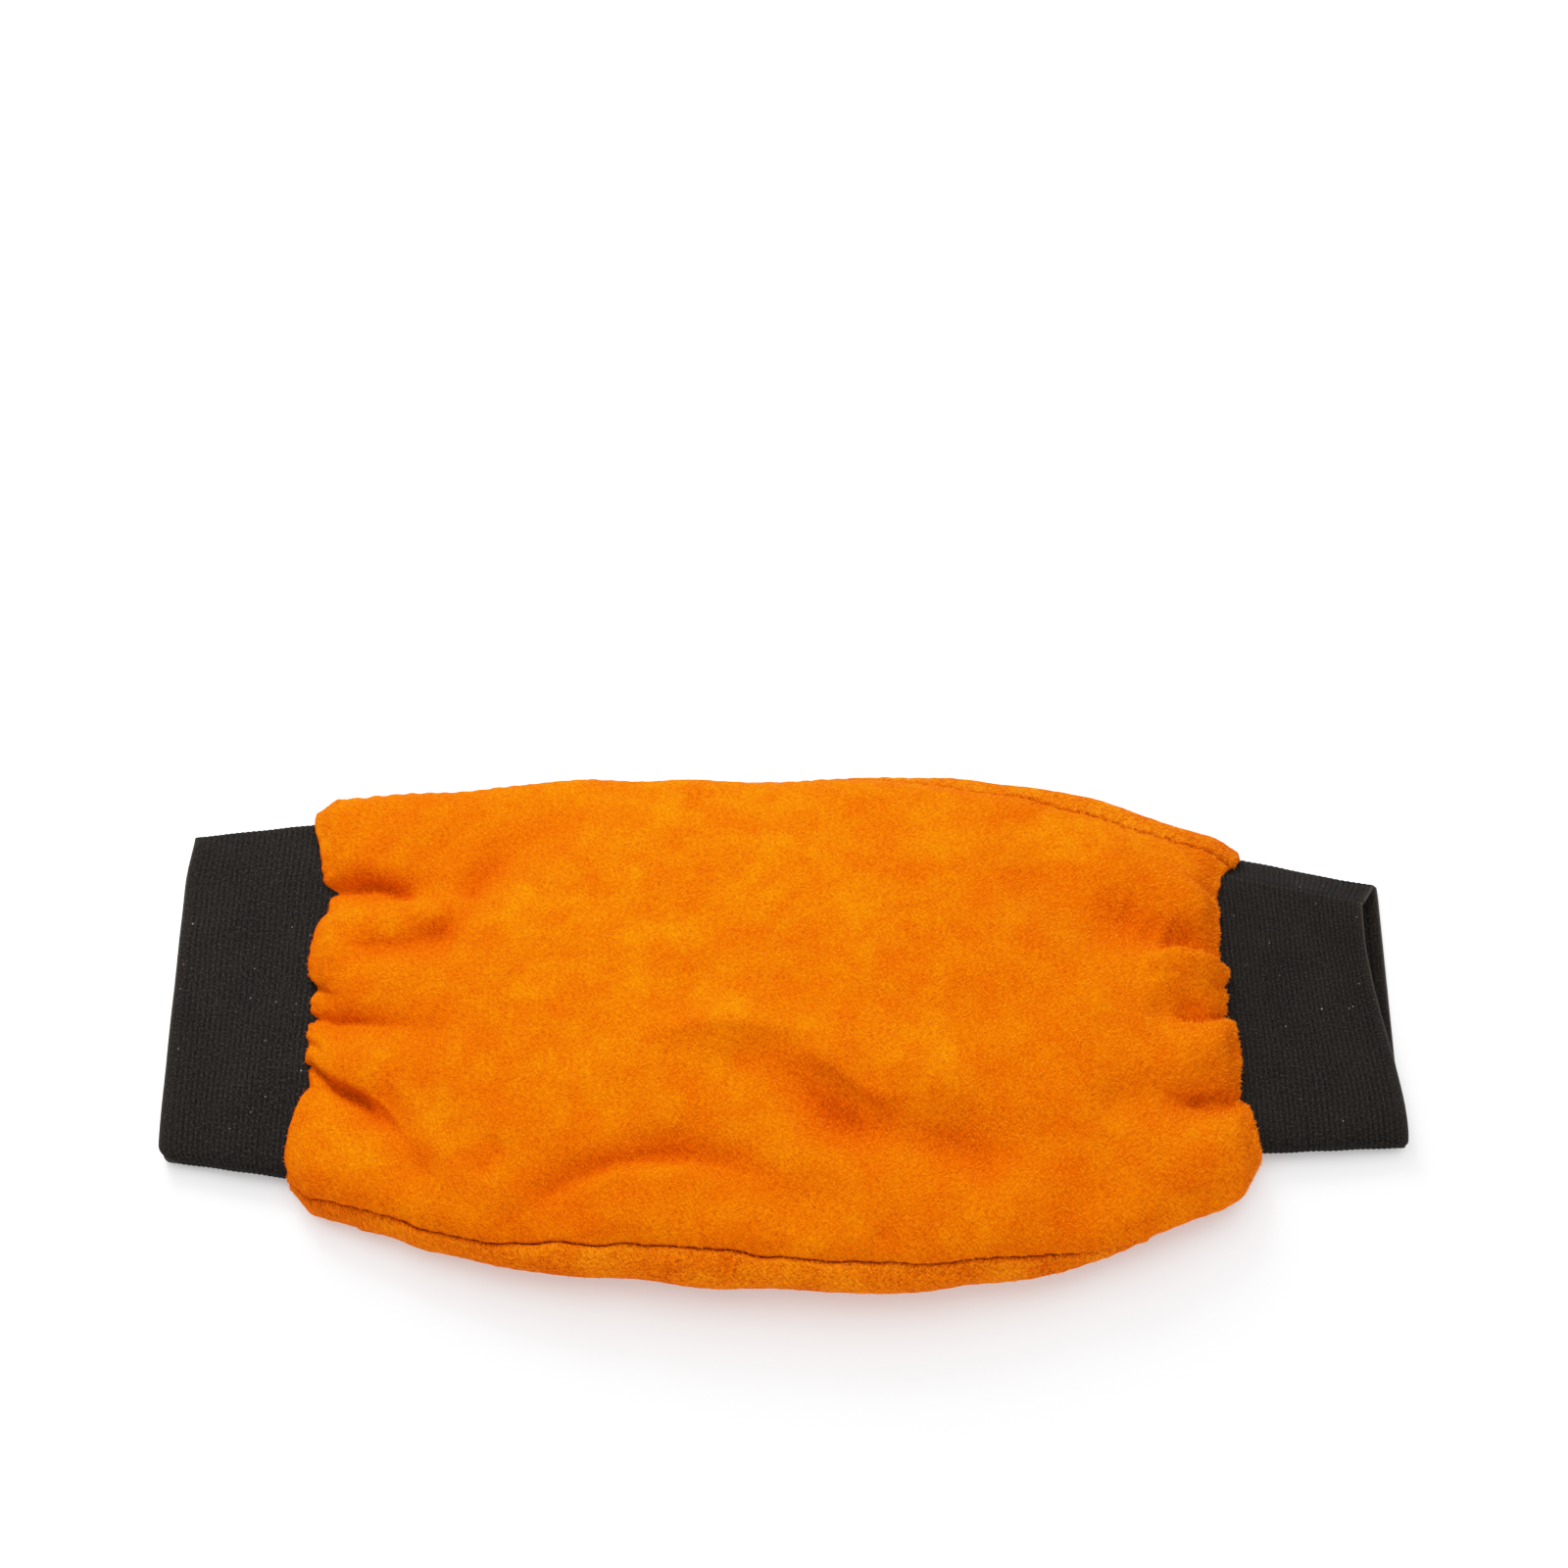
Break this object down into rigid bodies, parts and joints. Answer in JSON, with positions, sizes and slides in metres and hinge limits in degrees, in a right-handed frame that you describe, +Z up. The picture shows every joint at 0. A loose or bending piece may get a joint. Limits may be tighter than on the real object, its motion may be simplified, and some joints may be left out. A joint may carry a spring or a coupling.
{
  "type": "welding sleeve",
  "caption": "Protective forearm sleeve of suede split leather, gathered at each end onto a flat cuff of ribbed elastic, lying flat with one layer puffed over the other.",
  "frame": {"origin": "middle of the sleeve's outline on the surface it lies on", "axes": "+X along the arm towards the wrist, +Y towards the side that lies away from the viewer, +Z up"},
  "size_m": [0.4424, 0.1946, 0.0496],
  "materials": {
    "suede_top": "bright orange suede nap, matt",
    "suede_under": "brownish orange suede, rougher and darker, matt",
    "elastic": "black ribbed knit elastic, matt"
  },
  "bodies": {
    "root": {"top_panel": "suede_top", "under_panel": "suede_under", "upper_arm_cuff": "elastic", "wrist_cuff": "elastic"}
  },
  "joints": []
}
